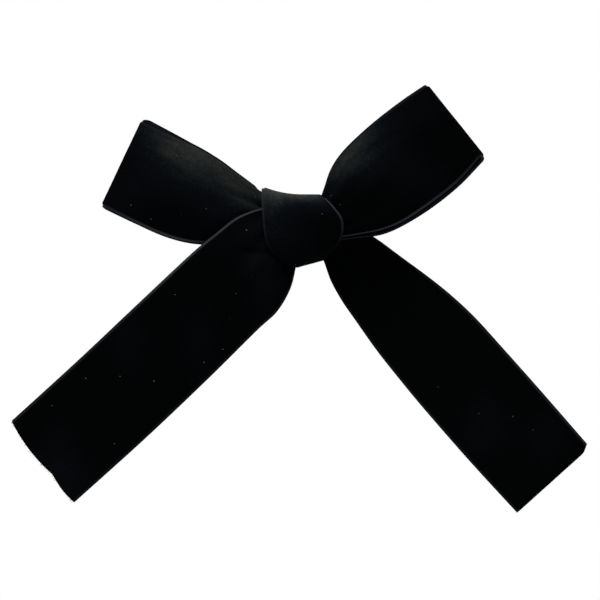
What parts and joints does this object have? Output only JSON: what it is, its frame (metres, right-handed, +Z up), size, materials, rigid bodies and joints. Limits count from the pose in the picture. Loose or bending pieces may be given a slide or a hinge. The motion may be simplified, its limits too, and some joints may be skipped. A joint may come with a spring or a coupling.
{
  "type": "hair bow",
  "caption": "Velvet ribbon hair bow with loops, tails and a knot band, glued to a sprung alligator clip that opens to grip hair.",
  "frame": {"origin": "middle of the gap between the clip's jaws, behind the knot, where the hair is gripped", "axes": "+X along the clip towards its press levers, the wearer-facing back of the clip towards +Y, the bow's front towards -Y, +Z up"},
  "size_m": [0.143, 0.0258, 0.1066],
  "materials": {
    "velvet": "deep black velvet pile with a cool sheen",
    "thread": "twisted black polyester thread",
    "glue": "milky hot-melt glue",
    "grosgrain": "ribbed black ribbon",
    "nickel_steel": "nickel-plated stamped steel",
    "spring_steel": "drawn spring wire"
  },
  "bodies": {
    "bow": {"left_loop": "velvet", "right_loop": "velvet", "knot_band": "velvet", "waist_thread": "thread", "glue_pad": "glue", "clip_lining": "grosgrain", "clip_top_arm": "nickel_steel", "hinge_pin": "spring_steel", "clip_spring": "spring_steel"},
    "jaw": {"clip_bottom_arm": "nickel_steel"},
    "left_tail_body": {"left_tail": "velvet"},
    "right_tail_body": {"right_tail": "velvet"}
  },
  "joints": [
    {"name": "jaw_open", "type": "hinge", "parent": "bow", "child": "jaw", "pos_m": [0.009, 0.00045, 0], "axis": [0, 0, -1], "range_deg": [0, 35], "stiffness_Nm_per_rad": 0.015, "springref_deg": -45.84, "deforming": ["clip_spring"]},
    {"name": "left_tail_lift", "type": "hinge", "parent": "bow", "child": "left_tail_body", "pos_m": [-0.0073, -0.01205, -0.0063], "axis": [-0.4974, 0, 0.8675], "range_deg": [0, 30], "stiffness_Nm_per_rad": 0.002},
    {"name": "right_tail_lift", "type": "hinge", "parent": "bow", "child": "right_tail_body", "pos_m": [0.00755, -0.00835, -0.0064], "axis": [0.2686, 0, 0.9632], "range_deg": [0, 20], "stiffness_Nm_per_rad": 0.002}
  ]
}
